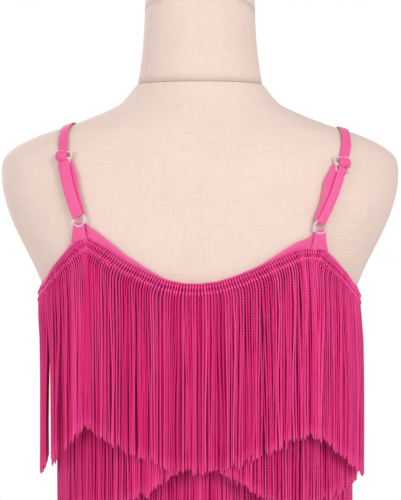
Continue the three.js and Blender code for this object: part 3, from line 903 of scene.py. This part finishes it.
def build_fringe():
    for index in range(len(TIERS)):
        for is_back in (True, False):
            rng = np.random.default_rng(100 + 2 * index + is_back)
            node = f"fringe_{index + 1}_{'back' if is_back else 'front'}"
            points, quads, uv, shade = strands(index, is_back, rng)
            piece = with_shade(piece_from(node + "_strands", points, quads, uv), shade)
            finish_piece(piece, MATERIALS["fringe"], "fringe", node)
            points, quads, uv, shade = header_loops(index, is_back, rng)
            loops = with_shade(piece_from(node + "_header", points, quads, uv), shade)
            finish_piece(loops, MATERIALS["fringe"], "fringe")


# ---------- Straps, rings and sliders ----------

STRAP_HALF = 5.0
# For each side of the dress: its sign along X, then in millimetres where the strap crosses the
# shoulder, its bend, the slider, the ring, the tab's lower end, the visible half width of the
# lower strap and how far its under layer shows beside it at the ring, midway and near the slider.
STRAPS = {
    "left": (1, 123.5, (127.5, 1352), (125, 1334), (110, 1278), 1258, 5.6, (1.8, 3.2, 5.4)),
    "right": (-1, 135.5, (136.5, 1348), (130.5, 1328.5), (109, 1271.5), 1250, 4.2, (2.6, 4.2, 8.2)),
}
FRONT_END = (93, 1290)


def on_form(x, height, way):
    """A point of the form's back (way 1) or front (way -1), in millimetres."""
    width, front, back, power = section(height)
    share = np.maximum(0, 1 - (np.abs(x) / width) ** power)
    return np.array([x, way * (back if way > 0 else front) * share ** (1 / power), height])


def depth_in(point):
    x, y, height = point
    width, front, back, power = section(height)
    return (abs(x) / width) ** power + (abs(y) / (back if y > 0 else front)) ** power


def way_out(point):
    change = [depth_in(point + step) - depth_in(point - step) for step in np.eye(3) * 3.0]
    return np.array(change) / np.linalg.norm(change)


def ridge(x):
    """The height of the shoulder's ridge at a distance across."""
    slope = BODY[BODY[:, 0] > 1330]
    return np.interp(-abs(x), -slope[:, 1], slope[:, 0])


def evened(points, count):
    """The same line with points at even distances."""
    points = np.array(points)
    length = np.concatenate([[0], np.cumsum(np.linalg.norm(np.diff(points, axis=0), axis=1))])
    return np.stack([np.interp(np.linspace(0, length[-1], count), length, points[:, k]) for k in range(3)], 1)


def back_line(start, end, count=24):
    return [
        on_form(start[0] + (end[0] - start[0]) * t, start[1] + (end[1] - start[1]) * t, 1)
        for t in np.linspace(0, 1, count)
    ]


def shoulder_line(sign, top_x, bend, slider):
    """From under the slider up the back, over the shoulder's ridge and down to the front panel.
    It runs straight up and turns inwards only close to the ridge."""
    top = ridge(top_x)
    low = (sign * slider[0], slider[1] - 7)
    rise = back_line(low, (sign * bend[0], bend[1]), 16)
    shares = 1 - np.linspace(1, 0, 26)[1:] ** 2
    up = [
        on_form(sign * (bend[0] + (top_x - bend[0]) * t**4), bend[1] + (top - bend[1]) * t, 1)
        for t in shares
    ]
    down = [
        on_form(sign * (top_x + (FRONT_END[0] - top_x) * t), top + (FRONT_END[1] - top) * t, -1)
        for t in np.linspace(0, 1, 50)[1:] ** 2
    ]
    return rise + up + down


def along_line(values, count):
    """Values spread evenly along a line and eased between, for each of its stops."""
    return np.interp(np.linspace(0, len(values) - 1, count), np.arange(len(values)), values)


def band(name, line, half_width, lift, thickness, count=60, shift=(0,), crease=0.0):
    """A flat soft-edged band over the form. Half width, lift, thickness and shift are each one value
    or values spread along it. Lift is its middle's height over the form, and crease a dip down it."""
    line = evened(line, count)
    ahead = np.gradient(line, axis=0)
    ahead /= np.linalg.norm(ahead, axis=1, keepdims=True)
    out = np.array([way_out(point) for point in line])
    out -= ahead * np.sum(out * ahead, axis=1, keepdims=True)
    out /= np.linalg.norm(out, axis=1, keepdims=True)
    across = np.cross(ahead, out)
    halves, lifts, walls, shifts = (
        along_line(np.atleast_1d(values), count)[:, None] for values in (half_width, lift, thickness, shift)
    )
    turn = np.linspace(0, 2 * np.pi, 24, endpoint=False)
    side = np.sign(np.cos(turn)) * np.abs(np.cos(turn)) ** 0.6
    up = np.sign(np.sin(turn)) * np.abs(np.sin(turn)) ** 0.7 / 2
    dip = crease * np.exp(-((side / 0.22) ** 2)) * (up > 0)
    wide = halves * side[None, :] + shifts
    high = walls * up[None, :] + lifts - dip[None, :]
    points = line[:, None] + across[:, None] * wide[..., None] + out[:, None] * high[..., None]
    middle = points.mean(1, keepdims=True)
    first = middle[0] + (points[0] - middle[0]) * 0.02
    last = middle[-1] + (points[-1] - middle[-1]) * 0.02
    points = np.concatenate([first[None], points, last[None]])
    length = np.concatenate([[0], np.cumsum(np.linalg.norm(np.diff(line, axis=0), axis=1))])
    length = np.concatenate([[0], length, [length[-1]]])
    uv = np.stack(np.broadcast_arrays(side[None, :] * STRAP_HALF, length[:, None]), -1) * MM
    piece = piece_from(name, points * MM, grid_quads(count + 2, len(turn), closed=True), uv)
    face_outwards(piece)
    return piece


def placed(piece, centre, along, out):
    """Moves a piece made flat at the origin to a place on the form, its Z pointing out."""
    across = np.cross(along, out)
    turn = Matrix([[across[k], along[k], out[k]] for k in range(3)]).to_4x4()
    turn.translation = Vector(centre * MM)
    piece.data.transform(turn)
    piece.data.update()


def spot(x, height, lift, toward, tilt=0.0):
    """A place over the form: its centre, the way along the strap turned by tilt degrees, and the way out."""
    point = on_form(x, height, 1)
    out = way_out(point)
    ahead = on_form(toward[0], toward[1], 1) - point
    ahead -= out * np.dot(ahead, out)
    ahead /= np.linalg.norm(ahead)
    turn = math.radians(tilt)
    ahead = ahead * math.cos(turn) + np.cross(out, ahead) * math.sin(turn)
    return point + out * lift, ahead, out


SLIDER_TILT = -27


def ring_piece(name):
    clear_selection()
    bpy.ops.mesh.primitive_torus_add(
        major_radius=6.1 * MM, minor_radius=1.0 * MM, major_segments=56, minor_segments=16
    )
    piece = bpy.context.object
    piece.name = name
    bpy.ops.object.shade_smooth()
    return piece


def slider_piece(name):
    """A flat frame with a middle bar: a plate cut in two, each half inset and opened."""
    clear_selection()
    bpy.ops.mesh.primitive_plane_add(size=1)
    piece = bpy.context.object
    piece.name = name
    piece.scale = (15.4 * MM, 14.4 * MM, 1)
    bpy.ops.object.transform_apply(location=False, rotation=False, scale=True)
    bpy.ops.object.mode_set(mode="EDIT")
    bpy.ops.mesh.select_all(action="SELECT")
    bpy.ops.mesh.bisect(plane_co=(0, 0, 0), plane_no=(0, 1, 0))
    bpy.ops.mesh.select_all(action="SELECT")
    bpy.ops.mesh.inset(thickness=1.5 * MM, use_individual=True)
    bpy.ops.mesh.delete(type="FACE")
    bpy.ops.object.mode_set(mode="OBJECT")
    add_modifier(piece, "SOLIDIFY", thickness=1.5 * MM, offset=0.0)
    add_modifier(piece, "BEVEL", width=0.5 * MM, segments=3, limit_method="ANGLE")
    shade_smooth(piece, 50)
    return piece


def bowed(start, end, bow, count=30):
    """A line over the back that bows outwards by bow millimetres between its ends."""
    return [
        on_form(
            start[0] + (end[0] - start[0]) * t + math.copysign(bow, start[0]) * math.sin(math.pi * t),
            start[1] + (end[1] - start[1]) * t, 1,
        )
        for t in np.linspace(0, 1, count)
    ]


def build_strap(side):
    """One side's shoulder strap, doubled lower strap, folded bulge at the slider, tab, ring and slider."""
    sign, top_x, bend, slider, ring, tab, lower_half, beside = STRAPS[side]
    at_slider = np.array([sign * slider[0], slider[1]])
    at_ring = np.array([sign * ring[0], ring[1]])
    jersey = MATERIALS["jersey"]

    line = shoulder_line(sign, top_x, bend, slider)
    lifts = (2.2, 1.9, 0.9, 1.1, 1.9)
    shoulder = band(f"strap_shoulder_{side}_band", line, STRAP_HALF - 0.3, lifts, 1.2, 130)
    line = bowed(at_ring + (0, 2.6), at_slider - (0, 3), 1.6)
    outer = band(f"strap_lower_{side}_outer", line, lower_half, (6.9, 6.4, 5.8), 1.5, 50)
    offsets = [sign * value for value in (*beside, 0.6 * beside[-1])]
    lifts = (4.9, 3.9, 3.6, 3.4)
    under = band(f"strap_lower_{side}_under", line, STRAP_HALF - 0.4, lifts, 1.4, 50, shift=offsets)
    tab_line = back_line((at_ring[0], tab), at_ring - (0, 2.6), 16)
    tab_widths = (9.0, 7.0, 5.8, 5.3)
    loop = band(f"tab_{side}_loop", tab_line, tab_widths, (3.4, 4.6, 5.6), (1.6, 2.0, 2.4), 30, crease=0.7)

    place, ahead, out = spot(*at_slider, 4.6, (sign * bend[0], bend[1]), SLIDER_TILT * sign)
    reach = ahead * 4.6
    fold_line = [on_form(*(place + reach * t)[[0, 2]], 1) for t in np.linspace(-1, 1, 12)]
    fold = band(
        f"strap_fold_{side}_loop", fold_line, (4.6, 5.6, 5.8, 5.4, 4.4), (5.4, 6.6, 7.0, 6.6, 5.4),
        (1.2, 3.4, 4.0, 3.4, 1.2), 26,
    )
    for piece, node, held, length, rests_on in (
        (shoulder, f"strap_shoulder_{side}", "stretched", 0.19, "form_torso_linen"),
        (outer, f"strap_lower_{side}", "stretched", 0.055, under.name),
        (under, None, "stretched", 0.055, "form_torso_linen"),
        (loop, f"tab_{side}", "folded", 0.026, "panel_back_jersey"),
        (fold, f"strap_fold_{side}", "folded", 0.012, f"slider_{side}_clear"),
    ):
        finish_piece(piece, jersey, "jersey", *([node] if node else []))

    ring_made = ring_piece(f"ring_{side}_clear")
    placed(ring_made, *spot(*at_ring, 5.8, at_slider))
    slider_made = slider_piece(f"slider_{side}_clear")
    placed(slider_made, place, ahead, out)
    for piece, node in ((ring_made, f"ring_{side}"), (slider_made, f"slider_{side}")):
        finish_piece(piece, MATERIALS["clear"], "clear_plastic", node)


def build_straps():
    for side in STRAPS:
        build_strap(side)


# ---------- Stage ----------


def area_light(name, place, aim, size, power):
    data = bpy.data.lights.new(name, "AREA")
    data.shape = "DISK"
    data.size = size
    data.energy = power
    light = bpy.data.objects.new(name, data)
    bpy.context.scene.collection.objects.link(light)
    light.location = place
    light.rotation_euler = (Vector(aim) - Vector(place)).to_track_quat("-Z", "Y").to_euler()


def pale_world(fill, seen):
    world = bpy.data.worlds.new("Pale studio")
    bpy.context.scene.world = world
    world.use_nodes = True
    tree = world.node_tree
    tree.nodes.clear()
    lit = add_node(tree, "ShaderNodeBackground", {"Color": (1, 1, 1, 1), "Strength": fill})
    shown = add_node(tree, "ShaderNodeBackground", {"Color": (1, 1, 1, 1), "Strength": seen})
    path = add_node(tree, "ShaderNodeLightPath")
    mixed = add_node(tree, "ShaderNodeMixShader")
    out = add_node(tree, "ShaderNodeOutputWorld")
    tree.links.new(path.outputs["Is Camera Ray"], mixed.inputs[0])
    tree.links.new(lit.outputs[0], mixed.inputs[1])
    tree.links.new(shown.outputs[0], mixed.inputs[2])
    tree.links.new(mixed.outputs[0], out.inputs[0])


def build_stage(settings):
    clear_selection()
    bpy.ops.mesh.primitive_circle_add(
        vertices=96, radius=1.6, fill_type="NGON", location=(0, 0, -0.0005)
    )
    floor = bpy.context.object
    floor.name = "studio_floor"
    bpy.ops.object.transform_apply(location=True, rotation=True, scale=True)
    material, tree, shader = new_material("Pale floor")
    set_inputs(tree, shader, {"Base Color": (0.86, 0.86, 0.85, 1), "Roughness": 0.7})
    floor.data.materials.append(material)
    pale_world(settings.fill, 1.0)
    area_light("Key", (-1.3, 2.4, 2.2), (0, 0, 1.15), 1.3, settings.key)
    area_light("Fill", (1.9, 2.0, 1.6), (0, 0, 1.15), 1.3, settings.key * 0.5)
    area_light("Front_key", (1.5, -2.4, 2.2), (0, 0, 1.1), 1.4, settings.key)
    data = bpy.data.cameras.new("Camera")
    data.sensor_width = 36
    data.lens = settings.lens
    camera = bpy.data.objects.new("Camera", data)
    bpy.context.scene.collection.objects.link(camera)
    camera.location = (-0.0005, settings.distance, 1.25)
    camera.rotation_euler = (math.radians(90), 0, math.radians(180))
    bpy.context.scene.camera = camera
    bpy.context.scene.view_settings.view_transform = "Standard"


# ---------- The add-on ----------


def colour_property(name, description, default):
    return bpy.props.FloatVectorProperty(
        name=name, description=description, subtype="COLOR", size=4, default=default, min=0, max=1,
    )


class DanceDressSettings(bpy.types.PropertyGroup):
    """Colours and stage values that a user would change."""

    linen: colour_property("Linen", "Colour of the form's cover", (0.81, 0.66, 0.59, 1))
    jersey: colour_property("Jersey", "Colour of the panels and straps", (0.90, 0.12, 0.34, 1))
    fringe: colour_property("Fringe", "Colour of the strands", (0.70, 0.002, 0.15, 1))
    fill: bpy.props.FloatProperty(
        name="Fill", description="Strength of the even studio light", default=0.66, min=0,
    )
    key: bpy.props.FloatProperty(
        name="Key light", description="Power of the key light", default=32.0, min=0, unit="POWER",
    )
    lens: bpy.props.FloatProperty(
        name="Lens", description="Focal length in millimetres", default=165.0, min=10,
    )
    distance: bpy.props.FloatProperty(
        name="Camera distance", description="From the form's axis", default=2.2, unit="LENGTH",
    )


class DANCEDRESS_OT_materials(bpy.types.Operator):
    """Make the cloth, fringe, plastic and metal materials"""

    bl_idname = "dancedress.materials"
    bl_label = "Materials"

    def execute(self, context):
        build_materials(context.scene.dance_dress)
        return {"FINISHED"}


class DANCEDRESS_OT_form(bpy.types.Operator):
    """Build the linen-covered form and its stand"""

    bl_idname = "dancedress.form"
    bl_label = "Dress form"

    def execute(self, context):
        build_form()
        build_stand()
        return {"FINISHED"}


class DANCEDRESS_OT_panels(bpy.types.Operator):
    """Build the jersey's front and back panels"""

    bl_idname = "dancedress.panels"
    bl_label = "Jersey panels"

    def execute(self, context):
        build_panels()
        return {"FINISHED"}


class DANCEDRESS_OT_fringe(bpy.types.Operator):
    """Build every tier of fringe with its header loops"""

    bl_idname = "dancedress.fringe"
    bl_label = "Fringe tiers"

    def execute(self, context):
        build_fringe()
        return {"FINISHED"}


class DANCEDRESS_OT_straps(bpy.types.Operator):
    """Build the straps, tabs, rings and sliders"""

    bl_idname = "dancedress.straps"
    bl_label = "Straps"

    def execute(self, context):
        build_straps()
        return {"FINISHED"}


class DANCEDRESS_OT_stage(bpy.types.Operator):
    """Set the floor, lights and camera"""

    bl_idname = "dancedress.stage"
    bl_label = "Stage"

    def execute(self, context):
        build_stage(context.scene.dance_dress)
        return {"FINISHED"}


class DANCEDRESS_PT_panel(bpy.types.Panel):
    """Lists the dress's steps in the sidebar"""

    bl_idname = "DANCEDRESS_PT_panel"
    bl_label = "Dance Dress"
    bl_space_type = "VIEW_3D"
    bl_region_type = "UI"
    bl_category = "Dance Dress"

    def draw(self, context):
        settings = context.scene.dance_dress
        for name in ("linen", "jersey", "fringe", "fill", "key", "lens", "distance"):
            self.layout.prop(settings, name)
        for step in STEPS:
            self.layout.operator(f"dancedress.{step}")


STEPS = ("materials", "form", "panels", "fringe", "straps", "stage")
CLASSES = (
    DanceDressSettings,
    DANCEDRESS_OT_materials,
    DANCEDRESS_OT_form,
    DANCEDRESS_OT_panels,
    DANCEDRESS_OT_fringe,
    DANCEDRESS_OT_straps,
    DANCEDRESS_OT_stage,
    DANCEDRESS_PT_panel,
)


def register():
    for item in CLASSES:
        bpy.utils.register_class(item)
    bpy.types.Scene.dance_dress = bpy.props.PointerProperty(type=DanceDressSettings)


def unregister():
    del bpy.types.Scene.dance_dress
    for item in reversed(CLASSES):
        bpy.utils.unregister_class(item)


def main():
    register()
    for step in STEPS:
        getattr(bpy.ops.dancedress, step)()


if __name__ == "__main__":
    main()
